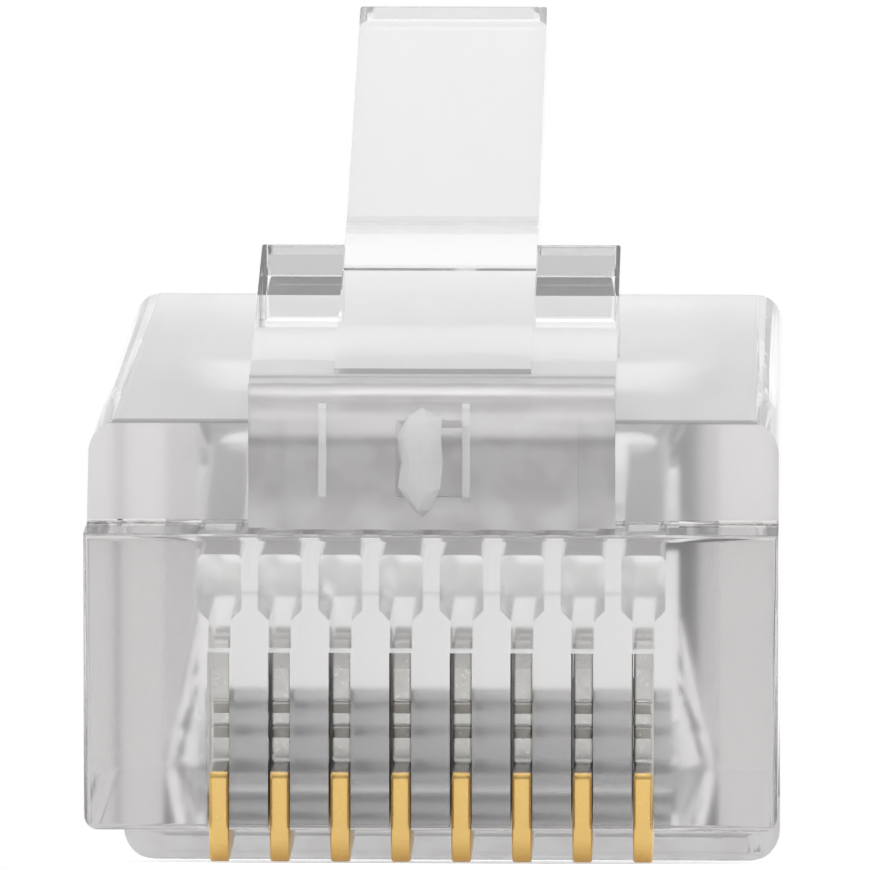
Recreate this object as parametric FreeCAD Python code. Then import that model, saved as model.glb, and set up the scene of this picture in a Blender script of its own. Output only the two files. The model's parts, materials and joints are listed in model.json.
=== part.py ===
"""RJ45 modular plug, eight positions and eight contacts, as it comes before it is crimped on a cable.

Every piece is modelled in the plug's own frame: X across the plug, Y back from the nose's front face,
Z up from the nose's contact side towards the latch. settle() then lays the plug on a bench as it
comes to rest by itself, tipped forward on its contact blades and the front edge of its deep collar.
Millimetres and degrees throughout.
"""
import FreeCAD
import Part
import math
import os

# housing, outside
BODY_WIDTH = 11.68
BODY_LENGTH = 21.46
NOSE_HEIGHT = 6.65          # contact side to latch side
TOP_RADIUS = 0.5            # long edges of the latch side
NOSE_RADIUS = 0.28          # long edges of the nose's contact side
EDGE_RADIUS = 0.12          # every other outer edge of the nose
SHELF_HEIGHT = 5.03         # ledge in front of the latch side
SHELF_DEPTH = 1.5
SHELF_LEAN = 0.9            # how far the wall behind the ledge leans back
RAMP_START = 11.6           # from here the contact side drops to the waist
RAMP_LENGTH = 0.9
WAIST_DROP = 1.4
COLLAR_START = 16.0         # deep collar round the cable
COLLAR_DROP = 2.91
COLLAR_RADIUS = 0.6
COLLAR_EDGE = 0.2

# contact blades and their slots
CONTACT_COUNT = 8
PITCH = 1.02
BLADE_THICKNESS = 0.33
BLADE_SIDE_GAP = 0.02
BLADE_FRONT = 0.28          # back from the nose's front face
BLADE_LENGTH = 3.6
BLADE_PROUD = 0.62          # how far the blade stands out before crimping
BLADE_RISE = 3.05           # height of the tooth tips above the contact side
CRIMP_TRAVEL = 1.1
FOOT_RISE = 0.97            # the foot that meets the jack's spring
FOOT_DEPTH = 1.1
FOOT_RADIUS = 0.43
HEEL_RADIUS = 0.3
TOOTH_COUNT = 3
TOOTH_HEIGHT = 0.95
TOOTH_TIP = 0.14
TOOTH_ROOT_RADIUS = 0.12
BARB_HEIGHT = 0.42           # barbs that grip the front of the slot
BARB_DEPTH = 0.12
SLOT_END_GAP = 0.08
SLOT_WEB = 0.47             # closed front between a slot and its wire channel

# wire channels and cable cavity
CHANNEL_WIDTH = 0.74
CHANNEL_HEIGHT = 1.12
CHANNEL_BEVEL = 0.18        # lower corners
CHANNEL_RADIUS = 0.12       # upper corners
CHANNEL_CENTRE = 4.06
FRONT_WALL = 0.9
CHANNEL_END = 8.4
THROAT_LENGTH = 0.6
THROAT_HEIGHT = 1.5
FUNNEL_LENGTH = 3.0
SIDE_WALL = 1.05
ROOF_WALL = 0.9
FLOOR_WALL = 0.9
CAVITY_RADIUS = 0.6

# latch
LATCH_WIDTH = 6.18
TONGUE_WIDTH = 3.32
ROOT_WIDTH = 4.95           # front of the root, between its two set back cheeks
ROOT_FRONT = 0.7
ROOT_RADIUS = 0.3
ROOT_TOP = 0.32             # above the centre of the bend
CHEEK_DEPTH = 0.2
GATE_WIDTH = 1.2            # shallow well round the mould's gate
GATE_DEPTH = 0.16
GATE_RISE = 0.55            # above the ledge
HINGE_BACK = 1.55           # centre of the bend, back from the nose's front face
HINGE_RISE = 0.5            # and above the latch side
HINGE_RADIUS = 0.42
HINGE_GAP = 0.04
ARM_SLOPE = 13.2
ARM_THICKNESS = 0.74
SHOULDER_BACK = 8.1         # locking shoulders, either side of the tongue
SHOULDER_LENGTH = 1.9
SHOULDER_HEIGHT = 1.76
SHOULDER_DRAFT = 0.8
SHOULDER_CORNER = 0.18
TONGUE_RAISE = 0.14
TONGUE_BEND = 9.0
TONGUE_BEND_RADIUS = 6.0
TONGUE_SLOPE = 18.5
TONGUE_BACK = 17.6
TONGUE_CORNER = 0.25

# strain relief
BAR_GAP = 0.12              # round each bar in its window
PIN_GAP = 0.04
CLAMP_FRONT = 13.0
CLAMP_LENGTH = 2.45
CLAMP_WIDTH = 8.4
CLAMP_HEIGHT = 1.7
CLAMP_PIN_RADIUS = 0.38
ANCHOR_FRONT = 8.9
ANCHOR_LENGTH = 1.7
ANCHOR_WIDTH = 8.0
ANCHOR_HEIGHT = 1.5
ANCHOR_PIN_RADIUS = 0.34

ACROSS = FreeCAD.Vector(1, 0, 0)
BACK = FreeCAD.Vector(0, 1, 0)
UP = FreeCAD.Vector(0, 0, 1)


def rounded_wire(corners, place):
    """Closed wire through corners (a, b, radius), each rounded; place(a, b) gives the point in space."""
    points = [FreeCAD.Vector(a, b, 0) for a, b, _ in corners]
    rounds = []
    for i, (_, _, radius) in enumerate(corners):
        corner = points[i]
        before = (points[i - 1] - corner).normalize()
        after = (points[(i + 1) % len(points)] - corner).normalize()
        half = before.getAngle(after) / 2
        reach = radius / math.tan(half)
        middle = corner
        if radius:
            middle = corner + (before + after).normalize() * (radius / math.sin(half) - radius)
        rounds.append((corner + before * reach, middle, corner + after * reach, radius))
    edges = []
    for i, (start, middle, end, radius) in enumerate(rounds):
        if radius:
            arc = [place(p.x, p.y) for p in (start, middle, end)]
            edges.append(Part.Arc(*arc).toShape())
        following = rounds[(i + 1) % len(rounds)][0]
        if end.distanceToPoint(following) > 1e-6:
            edges.append(Part.makeLine(place(end.x, end.y), place(following.x, following.y)))
    return Part.Wire(edges)


def across(corners, width):
    """Side outline (back, up, radius) extruded across the plug, centred on its middle plane."""
    wire = rounded_wire(corners, lambda back, up: FreeCAD.Vector(-width / 2, back, up))
    return Part.Face(wire).extrude(ACROSS * width)


def along(corners, start, end):
    """Front outline (across, up, radius) extruded back from start to end."""
    wire = rounded_wire(corners, lambda side, up: FreeCAD.Vector(side, start, up))
    return Part.Face(wire).extrude(BACK * (end - start))


def upright(corners, bottom, top):
    """Plan outline (across, back, radius) extruded up from bottom to top."""
    wire = rounded_wire(corners, lambda side, back: FreeCAD.Vector(side, back, bottom))
    return Part.Face(wire).extrude(UP * (top - bottom))


def box_outline(low_a, high_a, low_b, high_b, low_radius, high_radius):
    """Rectangle with one radius on its two low-b corners and another on its two high-b corners."""
    return [
        (low_a, low_b, low_radius),
        (high_a, low_b, low_radius),
        (high_a, high_b, high_radius),
        (low_a, high_b, high_radius),
    ]


def rod(radius, width, back, up):
    """Cylinder across the plug, centred on its middle plane."""
    return Part.makeCylinder(radius, width, FreeCAD.Vector(-width / 2, back, up), ACROSS)


def contact_centres():
    first = -PITCH * (CONTACT_COUNT - 1) / 2
    return [first + PITCH * i for i in range(CONTACT_COUNT)]


HINGE_UP = NOSE_HEIGHT + HINGE_RISE
CLAMP_PIN = (CLAMP_FRONT + CLAMP_LENGTH, -WAIST_DROP + FLOOR_WALL / 2)
ANCHOR_PIN = (ANCHOR_FRONT + ANCHOR_LENGTH, FLOOR_WALL / 2)


def housing_block():
    """Outside of the moulding: a side outline trimmed by its front sections and its plan."""
    side = across(
        [
            (0, 0, EDGE_RADIUS),
            (0, SHELF_HEIGHT, EDGE_RADIUS),
            (SHELF_DEPTH, SHELF_HEIGHT, EDGE_RADIUS),
            (SHELF_DEPTH + SHELF_LEAN, NOSE_HEIGHT, EDGE_RADIUS / 2),
            (BODY_LENGTH, NOSE_HEIGHT, EDGE_RADIUS),
            (BODY_LENGTH, -COLLAR_DROP, COLLAR_EDGE),
            (COLLAR_START, -COLLAR_DROP, COLLAR_EDGE),
            (COLLAR_START, -WAIST_DROP, 0),
            (RAMP_START + RAMP_LENGTH, -WAIST_DROP, 0),
            (RAMP_START, 0, 0),
        ],
        BODY_WIDTH,
    )
    half = BODY_WIDTH / 2
    sections = [
        (-1, RAMP_START, 0, NOSE_RADIUS),
        (RAMP_START, COLLAR_START, WAIST_DROP, NOSE_RADIUS),
        (COLLAR_START, BODY_LENGTH + 1, COLLAR_DROP, COLLAR_RADIUS),
    ]
    stages = [
        along(box_outline(-half, half, -drop, NOSE_HEIGHT, radius, TOP_RADIUS), start, end)
        for start, end, drop, radius in sections
    ]
    skin = stages[0].fuse(stages[1:]).removeSplitter()
    plan = upright(
        box_outline(-half, half, 0, BODY_LENGTH, EDGE_RADIUS, EDGE_RADIUS), -COLLAR_DROP - 1, NOSE_HEIGHT + 1
    )
    return side.common(skin).common(plan)


def cable_cavity():
    """Space for the cable, from its mouth in the collar to the throat where the wires fan out."""
    throat_low = CHANNEL_CENTRE - THROAT_HEIGHT / 2
    throat_high = CHANNEL_CENTRE + THROAT_HEIGHT / 2
    roof = NOSE_HEIGHT - ROOF_WALL
    waist_floor = FLOOR_WALL - WAIST_DROP
    collar_floor = FLOOR_WALL - COLLAR_DROP
    throat_half = (PITCH * (CONTACT_COUNT - 1) + CHANNEL_WIDTH) / 2
    cable_half = BODY_WIDTH / 2 - SIDE_WALL
    funnel_start = CHANNEL_END + THROAT_LENGTH
    stations = [
        (CHANNEL_END, throat_half, throat_low, throat_high),
        (funnel_start, throat_half, throat_low, throat_high),
        (funnel_start + FUNNEL_LENGTH, cable_half, waist_floor, roof),
        (COLLAR_START + FLOOR_WALL, cable_half, waist_floor, roof),
        (COLLAR_START + 2 * FLOOR_WALL, cable_half, collar_floor, roof),
        (BODY_LENGTH + 1, cable_half, collar_floor, roof),
    ]
    wires = [
        rounded_wire(
            box_outline(-half, half, low, high, CAVITY_RADIUS, CAVITY_RADIUS),
            lambda side, up, back=back: FreeCAD.Vector(side, back, up),
        )
        for back, half, low, high in stations
    ]
    return Part.makeLoft(wires, True, True)


def blade_slot():
    """Slot of one blade, open at the front and the contact side, reaching up into its wire channel."""
    front_top = CHANNEL_CENTRE - CHANNEL_HEIGHT / 2 - SLOT_WEB
    rear = BLADE_FRONT + BLADE_LENGTH + SLOT_END_GAP
    return across(
        [
            (-1, -1, 0),
            (-1, front_top, 0),
            (FRONT_WALL, front_top, 0),
            (FRONT_WALL, CHANNEL_CENTRE, 0),
            (rear, CHANNEL_CENTRE, 0),
            (rear, -1, 0),
        ],
        BLADE_THICKNESS + 2 * BLADE_SIDE_GAP,
    )


def wire_channel():
    """Blind channel of one wire, from the throat to the front wall."""
    half = CHANNEL_WIDTH / 2
    low = CHANNEL_CENTRE - CHANNEL_HEIGHT / 2
    high = CHANNEL_CENTRE + CHANNEL_HEIGHT / 2
    outline = [
        (CHANNEL_BEVEL - half, low, 0),
        (half - CHANNEL_BEVEL, low, 0),
        (half, low + CHANNEL_BEVEL, 0),
        (half, high, CHANNEL_RADIUS),
        (-half, high, CHANNEL_RADIUS),
        (-half, low + CHANNEL_BEVEL, 0),
    ]
    return along(outline, FRONT_WALL, CHANNEL_END + THROAT_LENGTH / 2)


def bar_window(front, width, pin, pin_radius, drop, ceiling):
    """Window of one strain relief bar, with the seat of its pin."""
    pin_back, pin_up = pin
    opening_width = width + 2 * BAR_GAP
    seat_radius = pin_radius + PIN_GAP
    opening = across(
        [
            (front - BAR_GAP, -drop - 1, 0),
            (pin_back, -drop - 1, 0),
            (pin_back, pin_up, 0),
            (pin_back + seat_radius, pin_up, 0),
            (pin_back + seat_radius, ceiling, 0),
            (front - BAR_GAP, ceiling, 0),
        ],
        opening_width,
    )
    return opening.fuse(rod(seat_radius, opening_width, pin_back, pin_up))


def latch_root():
    """Block on the ledge that carries the latch, with cheeks, a gate well and a seat for the arm's end."""
    top = HINGE_UP + ROOT_TOP
    block = across(
        [
            (ROOT_FRONT, SHELF_HEIGHT - 1, 0),
            (ROOT_FRONT, top, ROOT_RADIUS),
            (HINGE_BACK, top, 0),
            (HINGE_BACK, NOSE_HEIGHT, 0),
            (SHELF_DEPTH + SHELF_LEAN, NOSE_HEIGHT - 0.4, 0),
            (SHELF_DEPTH + SHELF_LEAN, SHELF_HEIGHT - 1, 0),
        ],
        LATCH_WIDTH,
    )
    seat = rod(HINGE_RADIUS + HINGE_GAP, LATCH_WIDTH + 1, HINGE_BACK, HINGE_UP)
    well_corner = FreeCAD.Vector(-GATE_WIDTH / 2, ROOT_FRONT, SHELF_HEIGHT + GATE_RISE)
    well = Part.makeBox(GATE_WIDTH, GATE_DEPTH, NOSE_HEIGHT, well_corner)
    cheek_width = (LATCH_WIDTH - ROOT_WIDTH) / 2
    cheeks = [
        Part.makeBox(cheek_width, CHEEK_DEPTH, NOSE_HEIGHT, FreeCAD.Vector(side, ROOT_FRONT, SHELF_HEIGHT))
        for side in (-LATCH_WIDTH / 2, ROOT_WIDTH / 2)
    ]
    return block.cut([seat, well] + cheeks)


def build_housing():
    housing = housing_block().fuse(latch_root()).cut(cable_cavity())
    slot, channel = blade_slot(), wire_channel()
    cuts = []
    for centre in contact_centres():
        cuts.append(slot.translated(ACROSS * centre))
        cuts.append(channel.translated(ACROSS * centre))
    cuts.append(
        bar_window(CLAMP_FRONT, CLAMP_WIDTH, CLAMP_PIN, CLAMP_PIN_RADIUS, WAIST_DROP, CHANNEL_CENTRE)
    )
    cuts.append(bar_window(ANCHOR_FRONT, ANCHOR_WIDTH, ANCHOR_PIN, ANCHOR_PIN_RADIUS, 0, CHANNEL_CENTRE))
    return housing.cut(cuts).removeSplitter()


def arm_height(back):
    """Height of the wide arm's top face."""
    return HINGE_UP + (back - HINGE_BACK) * math.tan(math.radians(ARM_SLOPE)) + ARM_THICKNESS / 2


def build_latch():
    """Round end, wide arm, deep locking shoulders, and the narrow tongue that runs the whole length."""
    drop = ARM_THICKNESS / math.cos(math.radians(ARM_SLOPE))
    arm_end = SHOULDER_BACK - SHOULDER_LENGTH / 2
    arm = across(
        [
            (HINGE_BACK, arm_height(HINGE_BACK), 0),
            (arm_end, arm_height(arm_end), 0),
            (arm_end, arm_height(arm_end) - drop, 0),
            (HINGE_BACK, arm_height(HINGE_BACK) - drop, 0),
        ],
        LATCH_WIDTH,
    )
    shoulder_front = SHOULDER_BACK - SHOULDER_LENGTH
    face_back = SHOULDER_BACK - SHOULDER_HEIGHT * math.tan(math.radians(SHOULDER_DRAFT))
    shoulder_low = arm_height(face_back) - SHOULDER_HEIGHT
    shoulders = across(
        [
            (shoulder_front, arm_height(shoulder_front), 0),
            (face_back, arm_height(face_back), EDGE_RADIUS / 2),
            (SHOULDER_BACK, shoulder_low, EDGE_RADIUS / 2),
            (shoulder_front, shoulder_low, EDGE_RADIUS / 2),
        ],
        LATCH_WIDTH,
    )
    between = Part.makeBox(
        TONGUE_WIDTH, SHOULDER_BACK, 2 * NOSE_HEIGHT, FreeCAD.Vector(-TONGUE_WIDTH / 2, HINGE_BACK, 0)
    )
    half = LATCH_WIDTH / 2
    arm = arm.fuse(shoulders.cut(between)).common(
        upright(box_outline(-half, half, 0, SHOULDER_BACK, 0, SHOULDER_CORNER), 0, 2 * NOSE_HEIGHT)
    )
    bend_top = arm_height(TONGUE_BEND) + TONGUE_RAISE
    tip_top = bend_top + (TONGUE_BACK - TONGUE_BEND) * math.tan(math.radians(TONGUE_SLOPE))
    tongue = across(
        [
            (HINGE_BACK, arm_height(HINGE_BACK) + TONGUE_RAISE, 0),
            (TONGUE_BEND, bend_top, TONGUE_BEND_RADIUS),
            (TONGUE_BACK, tip_top, EDGE_RADIUS),
            (TONGUE_BACK, tip_top - drop, EDGE_RADIUS),
            (TONGUE_BEND, bend_top - drop, TONGUE_BEND_RADIUS),
            (HINGE_BACK, arm_height(HINGE_BACK) + TONGUE_RAISE - drop, 0),
        ],
        TONGUE_WIDTH,
    )
    half = TONGUE_WIDTH / 2
    tongue = tongue.common(
        upright(box_outline(-half, half, 0, TONGUE_BACK, 0, TONGUE_CORNER), 0, 3 * NOSE_HEIGHT)
    )
    end = rod(HINGE_RADIUS, LATCH_WIDTH, HINGE_BACK, HINGE_UP)
    return arm.fuse([tongue, end]).removeSplitter()


def build_blade():
    """One contact: foot and heel rounded for the jack's spring, teeth on top that pierce the wire."""
    front, rear = BLADE_FRONT, BLADE_FRONT + BLADE_LENGTH
    neck = front + FOOT_DEPTH
    root = BLADE_RISE - TOOTH_HEIGHT
    step = (rear - neck) / TOOTH_COUNT
    corners = [
        (front, -BLADE_PROUD, FOOT_RADIUS),
        (front, FOOT_RISE, TOOTH_ROOT_RADIUS),
        (neck, FOOT_RISE, TOOTH_ROOT_RADIUS),
    ]
    for i in (1, 2):
        corners.append((neck, FOOT_RISE + BARB_HEIGHT * i, 0))
        corners.append((neck - BARB_DEPTH, FOOT_RISE + BARB_HEIGHT * (i + 0.5), 0))
        corners.append((neck, FOOT_RISE + BARB_HEIGHT * (i + 0.5), 0))
    for i in range(TOOTH_COUNT):
        start = neck + step * i
        middle = start + step / 2
        if i:
            corners.append((start, root, TOOTH_ROOT_RADIUS))
        corners.append((start + (step - TOOTH_TIP) / 4 if i else start, root + TOOTH_HEIGHT / 2, 0))
        corners.append((middle - TOOTH_TIP / 2, BLADE_RISE, 0))
        corners.append((middle + TOOTH_TIP / 2, BLADE_RISE, 0))
        if i < TOOTH_COUNT - 1:
            corners.append((start + step - (step - TOOTH_TIP) / 4, root + TOOTH_HEIGHT / 2, 0))
    corners.append((rear, root + TOOTH_HEIGHT / 2, 0))
    corners.append((rear, -BLADE_PROUD, HEEL_RADIUS))
    return across(corners, BLADE_THICKNESS)


def build_bar(front, width, height, pin, pin_radius):
    """Strain relief bar: a wedge that bites forward and up into the cable, with a round pin behind."""
    pin_back, pin_up = pin
    bottom = pin_up - pin_radius
    wedge = across(
        [
            (front, bottom, EDGE_RADIUS),
            (front, bottom + height * 0.6, EDGE_RADIUS),
            (front + (pin_back - front) * 0.3, bottom + height, EDGE_RADIUS),
            (pin_back, pin_up + pin_radius, 0),
            (pin_back, bottom, 0),
        ],
        width,
    )
    return wedge.fuse(rod(pin_radius, width, pin_back, pin_up)).removeSplitter()


def rest_tilt():
    """Angle of the bench under the plug: the line that touches the blades' feet and the collar's edge."""
    foot = FreeCAD.Vector(BLADE_FRONT + FOOT_RADIUS, FOOT_RADIUS - BLADE_PROUD, 0)
    edge = FreeCAD.Vector(COLLAR_START + COLLAR_EDGE, COLLAR_EDGE - COLLAR_DROP, 0)
    reach = edge - foot
    fall = math.atan2(-reach.y, reach.x)
    return math.degrees(fall - math.asin((FOOT_RADIUS - COLLAR_EDGE) / reach.Length))


def settle(pieces):
    """Lay the finished plug on its bench, and put the origin under its middle."""
    tilt = rest_tilt()
    for piece in pieces.values():
        piece.rotate(FreeCAD.Vector(0, 0, 0), ACROSS, tilt)
    box = Part.makeCompound(list(pieces.values())).optimalBoundingBox(False, False)
    shift = FreeCAD.Vector(0, -(box.YMin + box.YMax) / 2, -box.ZMin)
    for piece in pieces.values():
        piece.translate(shift)
    return tilt, shift


def build():
    pieces = {"housing": build_housing(), "latch": build_latch()}
    blade = build_blade()
    for number, centre in enumerate(contact_centres(), start=1):
        pieces[f"contact_{number}"] = blade.translated(ACROSS * centre)
    pieces["cable_clamp_bar"] = build_bar(
        CLAMP_FRONT, CLAMP_WIDTH, CLAMP_HEIGHT, CLAMP_PIN, CLAMP_PIN_RADIUS
    )
    pieces["wire_anchor_bar"] = build_bar(
        ANCHOR_FRONT, ANCHOR_WIDTH, ANCHOR_HEIGHT, ANCHOR_PIN, ANCHOR_PIN_RADIUS
    )
    return pieces


PIECES = build()
TILT, SHIFT = settle(PIECES)
os.makedirs("parts", exist_ok=True)
for name, piece in PIECES.items():
    piece.exportStep(f"parts/{name}.step")
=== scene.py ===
"""Looks of the clear modular plug: one clear moulding, eight plated blades, two strain relief bars.

Shapes are worked out in the plug's own frame, in millimetres: X across, Y back from the nose's front
face, Z up from its contact side towards the latch. PLUG carries that frame to the frame of the part,
in metres, where the plug lies tipped forward on its blades and its collar.
"""
import json
import math

import bmesh
import bpy
from mathutils import Matrix, Vector, noise


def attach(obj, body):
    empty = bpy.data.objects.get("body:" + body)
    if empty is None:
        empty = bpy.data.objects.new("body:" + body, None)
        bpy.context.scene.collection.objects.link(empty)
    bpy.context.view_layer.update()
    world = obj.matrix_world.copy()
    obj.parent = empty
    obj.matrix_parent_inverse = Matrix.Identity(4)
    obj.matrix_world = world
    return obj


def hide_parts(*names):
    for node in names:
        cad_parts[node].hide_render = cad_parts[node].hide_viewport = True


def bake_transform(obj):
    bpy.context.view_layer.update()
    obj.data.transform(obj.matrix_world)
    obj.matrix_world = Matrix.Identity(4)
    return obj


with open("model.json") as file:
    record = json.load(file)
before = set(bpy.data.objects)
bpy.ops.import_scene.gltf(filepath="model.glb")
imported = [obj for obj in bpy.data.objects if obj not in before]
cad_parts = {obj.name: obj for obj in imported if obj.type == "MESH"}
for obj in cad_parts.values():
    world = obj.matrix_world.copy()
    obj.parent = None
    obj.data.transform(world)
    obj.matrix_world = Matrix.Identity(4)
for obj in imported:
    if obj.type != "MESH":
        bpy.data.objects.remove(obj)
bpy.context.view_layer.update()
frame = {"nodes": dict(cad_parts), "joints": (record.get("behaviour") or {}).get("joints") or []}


# Clear moulding: housing and latch come out of one mould as one piece of polycarbonate. The web that
# bends joins their two bodies here, and in front of the latch's root stand two thin ribs and the rough
# stub where the runner was twisted off.

scene = bpy.context.scene
MILLIMETRE = 0.001
JOINTS = {joint["name"]: joint for joint in frame["joints"]}
HINGE = Vector((0, 1.55, 7.15))
UP = Vector(JOINTS["contact_1_crimp"]["axis"])
TILT = math.atan2(-UP.y, UP.z)
TURN = Matrix.Rotation(TILT, 4, "X") @ Matrix.Scale(MILLIMETRE, 4)
PLUG = Matrix.Translation(Vector(JOINTS["latch_flex"]["pos_m"]) - TURN @ HINGE) @ TURN


class Wire:
    """One output of a shader tree. Arithmetic on it adds Math nodes, and node() adds any other node."""

    def __init__(self, tree, socket=None):
        self.tree = tree
        self.socket = socket

    def node(self, kind, inputs=None, output=0, **settings):
        made = self.tree.nodes.new(kind)
        for name, value in settings.items():
            setattr(made, name, value)
        for name, value in (inputs or {}).items():
            if isinstance(value, Wire):
                self.tree.links.new(value.socket, made.inputs[name])
            else:
                made.inputs[name].default_value = value
        return Wire(self.tree, made.outputs[output] if made.outputs else None)

    def math(self, operation, first, second):
        return self.node("ShaderNodeMath", {0: first, 1: second}, operation=operation)

    def __add__(self, other):
        return self.math("ADD", self, other)

    def __sub__(self, other):
        return self.math("SUBTRACT", self, other)

    def __mul__(self, other):
        return self.math("MULTIPLY", self, other)

    def __rsub__(self, other):
        return self.math("SUBTRACT", other, self)

    __radd__ = __add__
    __rmul__ = __mul__


def new_material(name):
    material = bpy.data.materials.new(name)
    material.use_nodes = True
    material.node_tree.nodes.clear()
    return material, Wire(material.node_tree)


def plug_place(tree):
    """Where a point is in the plug's own frame, in millimetres."""
    here = tree.node("ShaderNodeTexCoord", output="Object")
    frame_of_plug = {"Location": PLUG.translation, "Rotation": (TILT, 0, 0), "Scale": (MILLIMETRE,) * 3}
    return tree.node("ShaderNodeMapping", {"Vector": here, **frame_of_plug}, vector_type="TEXTURE")


def part_of(tree, vector, axis):
    return tree.node("ShaderNodeSeparateXYZ", {"Vector": vector}, output=axis)


def ramp(tree, value, low, high, start=0.0, end=1.0):
    """Smooth step of value, from start at low to end at high."""
    return tree.node(
        "ShaderNodeMapRange",
        {"Value": value, "From Min": low, "From Max": high, "To Min": start, "To Max": end},
        interpolation_type="SMOOTHSTEP",
    )


def blend_colours(tree, amount, first, second):
    return tree.node("ShaderNodeMix", {0: amount, 6: first, 7: second}, output=2, data_type="RGBA")


CLEAR = (1, 1, 1, 1)
# Painted shade: the dark line along the housing's top front edge and its rounding.
EDGE_SHADE_TINT = (0.45, 0.44, 0.44, 1)
# Painted shade: the darker tint laid on the latch's root and the collar's front.
PAINTED_SHADE_TINT = (0.73, 0.715, 0.71, 1)
SATIN_TINT = (0.82, 0.815, 0.815, 1)
WHITENED_TINT = (0.95, 0.95, 0.955, 1)
DEPTH_TINT = (0.79, 0.775, 0.775, 1)
DEPTH_DENSITY = 110.0
SHADOW_TINT = (0.82, 0.82, 0.83, 1)
REFRACTION = 1.585
POLISH = 0.015
LEAST_HAZE = 0.02
SATIN_ROUGHNESS = 0.7
SATIN_CLEARNESS = 0.5
# Noise, rise and depth of the painted shade on the root and collar.
SHADE_MOTTLE_SCALE = 1.5
SHADE_MOTTLE_EDGES = (0.4, 0.62)
SHADE_MOTTLE_DEPTHS = (0.35, 1.0)
SHADE_RISE = (6.42, 6.56)
SHADE_RISE_DEPTH = 0.45
# Depths over which the painted dark band fades in along the front of the housing's top.
FRONT_SHADE_LINE = (2.85, 2.65)


def clear_plastic(name):
    """Polycarbonate. Every face of the moulding carries how hazy and rough the mould left it, and the shade
    and dark edge lines painted into its colour.
    """
    material, tree = new_material(name)
    place = plug_place(tree)
    depth = part_of(tree, place, "Y")
    height = part_of(tree, place, "Z")
    mottle = tree.node("ShaderNodeTexNoise", {"Vector": place, "Scale": SHADE_MOTTLE_SCALE, "Detail": 1.0})
    finish_and_shade = tree.node("ShaderNodeAttribute", output="Vector", attribute_name="finish_and_shade")
    haze = part_of(tree, finish_and_shade, "X")
    rough = part_of(tree, finish_and_shade, "Y")
    shade_flag = part_of(tree, finish_and_shade, "Z")
    marks_and_shade = tree.node("ShaderNodeAttribute", output="Vector", attribute_name="marks_and_shade")
    white = part_of(tree, marks_and_shade, "X")
    latch_side_shade = part_of(tree, marks_and_shade, "Z")
    # Painted shade: a dark line on the top edge's rounding, and a dark band fading in towards the front of
    # the housing's top.
    edge = part_of(tree, marks_and_shade, "Y") + latch_side_shade * ramp(tree, depth, *FRONT_SHADE_LINE)
    # Painted shade on the root and collar: mottled by noise, and deeper on the upper part of the root.
    mottled = ramp(tree, mottle, *SHADE_MOTTLE_EDGES, *SHADE_MOTTLE_DEPTHS)
    painted_shade = (mottled + ramp(tree, height, *SHADE_RISE, 0.0, SHADE_RISE_DEPTH)) * shade_flag
    # The colour takes painted shade: the dark edge lines first, then the darker patches on the root and
    # collar.
    clear = blend_colours(tree, edge, CLEAR, EDGE_SHADE_TINT)
    clear = blend_colours(tree, painted_shade, clear, PAINTED_SHADE_TINT)
    cloud = blend_colours(tree, white, SATIN_TINT, WHITENED_TINT)
    cloud = blend_colours(tree, edge, cloud, EDGE_SHADE_TINT)
    cloud = blend_colours(tree, painted_shade, cloud, PAINTED_SHADE_TINT)
    body = tree.node(
        "ShaderNodeBsdfPrincipled",
        {"Base Color": clear, "Roughness": POLISH + rough, "IOR": REFRACTION, "Transmission Weight": 1.0},
    )
    milk = tree.node(
        "ShaderNodeBsdfPrincipled",
        {
            "Base Color": cloud,
            "Roughness": SATIN_ROUGHNESS,
            "IOR": REFRACTION,
            "Transmission Weight": SATIN_CLEARNESS,
        },
    )
    hazy = tree.node("ShaderNodeMixShader", {0: LEAST_HAZE + haze, 1: body, 2: milk})
    lamp = tree.node("ShaderNodeLightPath", output="Is Shadow Ray")
    through = tree.node("ShaderNodeBsdfTransparent", {"Color": SHADOW_TINT})
    surface = tree.node("ShaderNodeMixShader", {0: lamp, 1: hazy, 2: through})
    tint = tree.node("ShaderNodeVolumeAbsorption", {"Color": DEPTH_TINT, "Density": DEPTH_DENSITY})
    tree.node("ShaderNodeOutputMaterial", {"Surface": surface, "Volume": tint})
    return material


SHELF = 5.03
ABOVE_SHELF = 5.1
NOSE_TOP = 6.65
ROOT_FRONT = 0.7
ROOT_BACK = 1.0
ROOT_TOP = 7.47
NOSE_SKIN = 0.1
COLLAR_FRONT = 16.15
COLLAR_STEP_TOP = -1.4
BREAK_DEPTH = 0.03
BEND_LOW = 7.3
LATCH_SIDE_FRONT = 2.4
LEDGE_WALL_FRONT = 1.4
LEDGE_WALL_BACK = 2.36
EDGE_LOW = 6.55
EDGE_HIGH = 6.649
EDGE_FRONT = 2.3
EDGE_BACK = 2.45
FLATNESS = 0.01
TONGUE_LOW = 9.0
TONGUE_HALF = 1.67

# Each finish is haze, roughness, painted shade, whiteness, painted dark edge, and latch side, which paints a
# dark band at the front of the housing's top.
POLISHED = (0, 0, 0, 0, 0, 0)
NOSE_FINISH = (0.25, 0.1, 0, 0, 0, 0)
# Painted shade: the collar's front is darkened as if shaded under the nose.
COLLAR_FINISH_AND_SHADE = (0.75, 0, 1, 0, 0, 0)
BROKEN_FINISH = (0.95, 0.2, 0, 1, 0, 0)
# Painted shade: the latch's root is darkened.
ROOT_FINISH_AND_SHADE = (0.45, 0.3, 1, 0, 0, 0)
BEND_FINISH = (0.6, 0.1, 0, 0, 0, 0)
LEDGE_WALL_FINISH = (0.45, 0.12, 0, 1, 0, 0)
# Painted shade: a dark line on the rounding of the housing's top front edge.
TOP_EDGE_FINISH_AND_SHADE = (0.7, 0.1, 0, 0, 1, 0)
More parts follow.
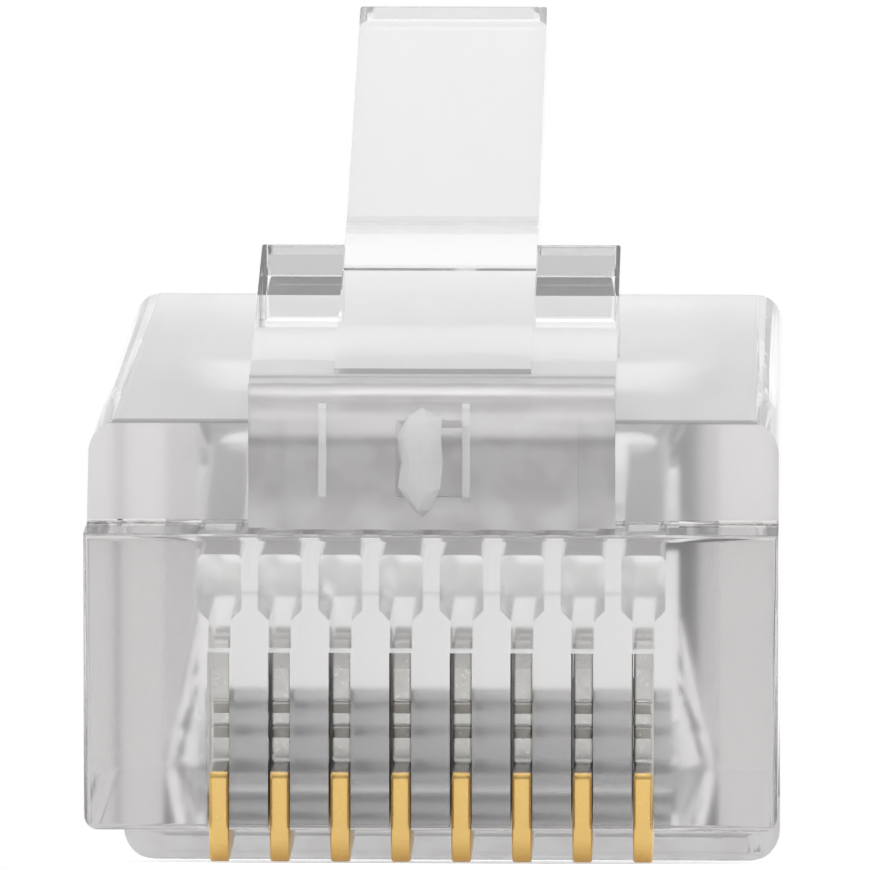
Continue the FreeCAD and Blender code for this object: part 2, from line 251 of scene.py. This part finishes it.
# Painted shade: the latch side flag darkens a band at the front of the housing's top.
LATCH_SIDE_FINISH_AND_SHADE = (0.7, 0.35, 0, 1, 0, 1)
TONGUE_FINISH = (0.25, 0, 0, 0, 0, 0)


def face_finish(side, back, up):
    """The finish that the mould left on the face with its middle at this place, and the shade and dark lines
    painted there.
    """
    if back < NOSE_SKIN:
        return NOSE_FINISH
    if up < COLLAR_STEP_TOP and back < COLLAR_FRONT:
        return COLLAR_FINISH_AND_SHADE
    if up > ABOVE_SHELF and back < ROOT_FRONT - BREAK_DEPTH:
        return BROKEN_FINISH
    if up > ABOVE_SHELF and back < ROOT_BACK:
        return ROOT_FINISH_AND_SHADE
    if up > BEND_LOW and back < LATCH_SIDE_FRONT:
        return BEND_FINISH
    if ABOVE_SHELF < up < EDGE_LOW and LEDGE_WALL_FRONT < back < LEDGE_WALL_BACK:
        return LEDGE_WALL_FINISH
    if EDGE_LOW < up < EDGE_HIGH and EDGE_FRONT < back < EDGE_BACK:
        return TOP_EDGE_FINISH_AND_SHADE
    if abs(up - NOSE_TOP) < FLATNESS and back > LATCH_SIDE_FRONT:
        return LATCH_SIDE_FINISH_AND_SHADE
    if up > TONGUE_LOW and abs(side) < TONGUE_HALF:
        return TONGUE_FINISH
    return POLISHED


def paint_faces(mesh):
    """Writes each face's finish and painted shade to the two attributes that the clear plastic reads."""
    into_plug = PLUG.inverted()
    finish_and_shade = mesh.attributes.new("finish_and_shade", "FLOAT_VECTOR", "FACE")
    marks_and_shade = mesh.attributes.new("marks_and_shade", "FLOAT_VECTOR", "FACE")
    for face in mesh.polygons:
        traits = face_finish(*(into_plug @ face.center))
        finish_and_shade.data[face.index].vector = traits[:3]
        marks_and_shade.data[face.index].vector = traits[3:]


DOUBLES_WITHIN = 1e-4


def merged_copy(node):
    """Copy of a CAD node's mesh in the plug's frame, its triangles joined into one closed surface."""
    made = bmesh.new()
    made.from_mesh(frame["nodes"][node].data)
    bmesh.ops.transform(made, matrix=PLUG.inverted(), verts=made.verts)
    bmesh.ops.remove_doubles(made, verts=made.verts, dist=DOUBLES_WITHIN)
    bmesh.ops.recalc_face_normals(made, faces=made.faces)
    mesh = bpy.data.meshes.new(node + "_copy")
    made.to_mesh(mesh)
    made.free()
    return mesh


def prism(outline, low, high):
    """Side outline (back, up) carried across the plug from low to high."""
    made = bmesh.new()
    face = made.faces.new([made.verts.new((low, back, up)) for back, up in outline])
    swept = bmesh.ops.extrude_face_region(made, geom=[face])
    moved = [item for item in swept["geom"] if isinstance(item, bmesh.types.BMVert)]
    bmesh.ops.translate(made, verts=moved, vec=(high - low, 0, 0))
    bmesh.ops.recalc_face_normals(made, faces=made.faces)
    mesh = bpy.data.meshes.new("prism")
    made.to_mesh(mesh)
    made.free()
    return mesh


def joined(name, meshes):
    """One closed mesh from several that overlap."""
    parts = []
    for mesh in meshes:
        part = bpy.data.objects.new(name, mesh)
        scene.collection.objects.link(part)
        parts.append(part)
    for part in parts[1:]:
        union = parts[0].modifiers.new("union", "BOOLEAN")
        union.operation = "UNION"
        union.solver = "EXACT"
        union.object = part
    evaluated = parts[0].evaluated_get(bpy.context.evaluated_depsgraph_get())
    mesh = bpy.data.meshes.new_from_object(evaluated)
    for part in parts:
        bpy.data.objects.remove(part)
    return mesh


IN_ONE_PLANE = math.radians(0.3)
WIDE_FACE = 0.22
ROUNDING_TURN = math.radians(50)
BREAK_FOOT = SHELF + 0.05


def set_normals(mesh, broken_before):
    """Wide faces and a break's facets keep flat normals, and the facets of a rounding turn between them."""
    work = bmesh.new()
    work.from_mesh(mesh)
    bmesh.ops.dissolve_limit(work, angle_limit=IN_ONE_PLANE, verts=work.verts, edges=work.edges)
    work.normal_update()
    work.to_mesh(mesh)
    flat = {}
    for face in work.faces:
        width = face.calc_area() / max(edge.calc_length() for edge in face.edges)
        middle = face.calc_center_median()
        flat[face] = width > WIDE_FACE or (middle.y < broken_before and middle.z > BREAK_FOOT)
    normals = []
    for face in work.faces:
        for loop in face.loops:
            if flat[face]:
                normals.append(face.normal.copy())
                continue
            faces = loop.vert.link_faces
            near = [other for other in faces if other.normal.angle(face.normal, 0) < ROUNDING_TURN]
            near = [other for other in near if flat[other]] or near
            total = sum((other.normal * other.calc_area() for other in near), Vector())
            normals.append(total.normalized())
    work.free()
    mesh.normals_split_custom_set(normals)


NOTHING_BROKEN = -1


def placed(name, mesh, material, broken_before=NOTHING_BROKEN):
    """Object of the finished mesh, carried from the plug's frame to the part's."""
    set_normals(mesh, broken_before)
    mesh.transform(PLUG)
    mesh.name = name
    mesh.materials.clear()
    mesh.materials.append(material)
    made = bpy.data.objects.new(name, mesh)
    scene.collection.objects.link(made)
    return made


ARM_SLOPE = math.radians(13.2)
ARM_TOP_AT_HINGE = 7.52
ARM_THICKNESS = 0.73
LATCH_WIDTH = 6.18
WEB_INSET = 0.01
WEB_HALF = LATCH_WIDTH / 2 - WEB_INSET
WEB_BACK = 2.3
BEND_RADIUS = 0.3
BEND_STEPS = 6
SKIN = 0.005


def arm_top(back):
    return ARM_TOP_AT_HINGE + (back - HINGE.y) * math.tan(ARM_SLOPE)


bend_centre = (ROOT_FRONT - SKIN + BEND_RADIUS, ROOT_TOP + SKIN - BEND_RADIUS)
web_outline = [(ROOT_BACK, 6.6), (ROOT_FRONT - SKIN, 6.9)]
for step in range(BEND_STEPS + 1):
    turn = math.pi - step * math.pi / (2 * BEND_STEPS)
    web_outline.append(
        (bend_centre[0] + BEND_RADIUS * math.cos(turn), bend_centre[1] + BEND_RADIUS * math.sin(turn))
    )
web_outline += [
    (HINGE.y, arm_top(HINGE.y) + SKIN),
    (WEB_BACK, arm_top(WEB_BACK) + SKIN),
    (WEB_BACK, arm_top(WEB_BACK) - ARM_THICKNESS),
    (2.0, 6.78),
    (1.85, 6.5),
]

STUB_PLACE = Vector((-0.16, 0.7, 6.17))
STUB_WIDE, STUB_DEEP, STUB_TALL = 0.36, 0.3, 0.93
STUB_ROUNDNESS = 0.6
STUB_POINT = 0.5
STUB_FLARE = 0.8
JAG_DEPTH = 0.5
JAGS_ROUND, JAGS_UP = 2.9, 4.6
JAG_START = (3.1, 0.7, 1.9)


def gate_stub():
    """Rough lump in front of the root, where the runner was twisted off: a broken rod, pointed below."""
    made = bmesh.new()
    bmesh.ops.create_icosphere(made, subdivisions=2, radius=1)
    for vert in made.verts:
        side, back, up = vert.co
        spread = (JAGS_ROUND * side, JAGS_ROUND * back, JAGS_UP * up)
        jag = noise.noise(Vector([along + start for along, start in zip(spread, JAG_START)]))
        pointed = min(1, STUB_POINT + STUB_FLARE * (up + 1))
        girth = (1 + JAG_DEPTH * jag) * pointed / max(STUB_ROUNDNESS, math.hypot(side, back))
        vert.co = Vector((STUB_WIDE * side * girth, STUB_DEEP * back * girth, STUB_TALL * up))
        vert.co += STUB_PLACE
    mesh = bpy.data.meshes.new("gate_stub")
    made.to_mesh(mesh)
    made.free()
    return mesh


RIB_DEPTH = 0.1
rib_outline = [
    (ROOT_FRONT + RIB_DEPTH, 5.4),
    (ROOT_FRONT - RIB_DEPTH, 5.6),
    (ROOT_FRONT - RIB_DEPTH, 7.1),
    (ROOT_FRONT + RIB_DEPTH, 7.25),
]
BREAK_FRONT = ROOT_FRONT - 0.02

clear = clear_plastic("clear_polycarbonate")
shell_mesh = joined(
    "moulding",
    [
        merged_copy("housing"),
        merged_copy("latch"),
        prism(web_outline, -WEB_HALF, WEB_HALF),
        prism(rib_outline, -1.9, -1.77),
        prism(rib_outline, 0.52, 0.65),
        gate_stub(),
    ],
)
shell = placed("moulding", shell_mesh, clear, broken_before=BREAK_FRONT)
paint_faces(shell.data)
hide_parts("housing", "latch")
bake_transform(shell)


# Strain relief bars: two clear wedges in windows of the housing's contact side, pressed in by the
# crimping tool. They are the same plastic as the moulding.

for bar in ("cable_clamp_bar", "wire_anchor_bar"):
    frame["nodes"][bar].data.materials.clear()
    frame["nodes"][bar].data.materials.append(clear)


# Contact blades: stamped phosphor bronze, nickel plated, with gold over the rounded foot that meets
# the jack's springs. Each is pushed into its own slot from the contact side.

GOLD = (0.74, 0.5, 0.18, 1)
NICKEL = (0.62, 0.61, 0.59, 1)
GOLD_EDGE = (1.16, 1.3)
GOLD_SLOPE = 0.6
GOLD_WOBBLE = 0.12


def plated_blade():
    """Gold below a slanting, slightly wavy line on each blade, and nickel above it."""
    material, tree = new_material("plated_bronze")
    place = plug_place(tree)
    depth = part_of(tree, place, "Y")
    height = part_of(tree, place, "Z")
    wobble = tree.node("ShaderNodeTexNoise", {"Vector": place, "Scale": 3.0})
    edge = ramp(tree, height + GOLD_SLOPE * depth + GOLD_WOBBLE * wobble, *GOLD_EDGE)
    colour = blend_colours(tree, edge, GOLD, NICKEL)
    grain = tree.node("ShaderNodeTexNoise", {"Vector": place, "Scale": 14.0, "Detail": 3.0})
    rough = tree.node("ShaderNodeMapRange", {"Value": grain, "To Min": 0.2, "To Max": 0.42})
    metal = tree.node(
        "ShaderNodeBsdfPrincipled", {"Base Color": colour, "Metallic": 1.0, "Roughness": rough}
    )
    tree.node("ShaderNodeOutputMaterial", {"Surface": metal})
    return material


BLADES = 8
STAMPED_EDGE = 0.07 * MILLIMETRE
SHARP_TURN = math.radians(50)

plating = plated_blade()
for number in range(1, BLADES + 1):
    blade = placed(f"blade_{number}", merged_copy(f"contact_{number}"), plating)
    bevel = blade.modifiers.new("stamped_edge", "BEVEL")
    bevel.width = STAMPED_EDGE
    bevel.segments = 3
    bevel.limit_method = "ANGLE"
    bevel.angle_limit = SHARP_TURN
    evaluated = blade.evaluated_get(bpy.context.evaluated_depsgraph_get())
    blade.data = bpy.data.meshes.new_from_object(evaluated)
    blade.modifiers.clear()
    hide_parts(f"contact_{number}")
    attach(blade, f"contact_{number}_blade")


# Studio: a pale floor that keeps the plug's shadow, a soft light from above, and a bright surround
# that is greyer on the side of the camera. None of it is part of the plug.

def backdrop_rays(tree):
    """One for the rays that show the white backdrop: the camera's, and those off metal and through glass."""
    camera_ray, glossy_ray, glass_ray = [
        tree.node("ShaderNodeLightPath", output=f"Is {kind} Ray")
        for kind in ("Camera", "Glossy", "Transmission")
    ]
    return tree.math("MAXIMUM", tree.math("MAXIMUM", camera_ray, glossy_ray), glass_ray)


WHITE = (1, 1, 1, 1)
PAPER = (0.93, 0.93, 0.93, 1)
PAPER_LIFT = 0.3
FLOOR_HALF = 0.03
FLOOR_DROP = 0.00002

material, tree = new_material("floor_paper")
paper = tree.node("ShaderNodeBsdfPrincipled", {"Base Color": PAPER, "Roughness": 0.9})
lift = tree.node("ShaderNodeEmission", {"Color": WHITE, "Strength": PAPER_LIFT * backdrop_rays(tree)})
lifted = tree.node("ShaderNodeAddShader", {0: paper, 1: lift})
tree.node("ShaderNodeOutputMaterial", {"Surface": lifted})
corners = [(-1, -1), (1, -1), (1, 1), (-1, 1)]
floor_mesh = bpy.data.meshes.new("floor")
floor_mesh.from_pydata([(FLOOR_HALF * x, FLOOR_HALF * y, 0) for x, y in corners], [], [(0, 1, 2, 3)])
floor_mesh.materials.append(material)
floor = bpy.data.objects.new("floor", floor_mesh)
floor.location.z = -FLOOR_DROP
scene.collection.objects.link(floor)

sky = bpy.data.lights.new("sky", "AREA")
sky.shape = "RECTANGLE"
sky.size, sky.size_y = 0.2, 0.2
sky.energy = 0.12
sky_object = bpy.data.objects.new("sky", sky)
sky_object.location = (0.0, -0.02, 0.2)
scene.collection.objects.link(sky_object)

SURROUND = 0.9
HORIZON = 0.85
HORIZON_BAND = 0.12
ABOVE_CAMERA = 0.55
BELOW_CAMERA = 0.03
CAMERA_LEVELS = (-0.05, 0.06)
AHEAD_WIDE = -0.8
AHEAD_FULL = -0.93

world = bpy.data.worlds.new("studio")
world.use_nodes = True
world.node_tree.nodes.clear()
world.cycles.sampling_method = "NONE"
scene.world = world
tree = Wire(world.node_tree)
toward = tree.node("ShaderNodeTexCoord", output="Generated")
back = part_of(tree, toward, "Y")
rise = part_of(tree, toward, "Z")
ahead = ramp(tree, back, AHEAD_WIDE, AHEAD_FULL)
camera_side = ramp(tree, rise, *CAMERA_LEVELS, BELOW_CAMERA, ABOVE_CAMERA)
level = ramp(tree, rise * rise, 0.0, HORIZON_BAND, HORIZON, SURROUND)
level = level + backdrop_rays(tree) * (1.0 - level)
shade = level + ahead * (camera_side - level)
seen = tree.node("ShaderNodeLightPath", output="Is Camera Ray")
strength = seen + (1.0 - seen) * shade
surround = tree.node("ShaderNodeBackground", {"Color": WHITE, "Strength": strength})
tree.node("ShaderNodeOutputWorld", {"Surface": surround})

AZIMUTH = math.radians(1.35)
ELEVATION = math.radians(7.057)
CAMERA_DISTANCE = 276.459
target = Vector((0.077, 0, 6.724))
eye = Matrix.Rotation(AZIMUTH, 3, "Z") @ Matrix.Rotation(-ELEVATION, 3, "X") @ Vector((0, -1, 0))
aim = eye.to_track_quat("Z", "Y").to_matrix().to_4x4()
camera_data = bpy.data.cameras.new("camera")
camera_data.sensor_width = 36
camera_data.lens = 681.87
camera_data.clip_start = 0.01
camera_data.clip_end = 5
camera = bpy.data.objects.new("camera", camera_data)
scene.collection.objects.link(camera)
stand = Matrix.Translation(PLUG @ (target + eye * CAMERA_DISTANCE))
camera.matrix_world = stand @ Matrix.Rotation(TILT, 4, "X") @ aim
scene.camera = camera

scene.view_settings.view_transform = "Standard"
scene.cycles.max_bounces = 9
scene.cycles.transmission_bounces = 9
scene.cycles.glossy_bounces = 6
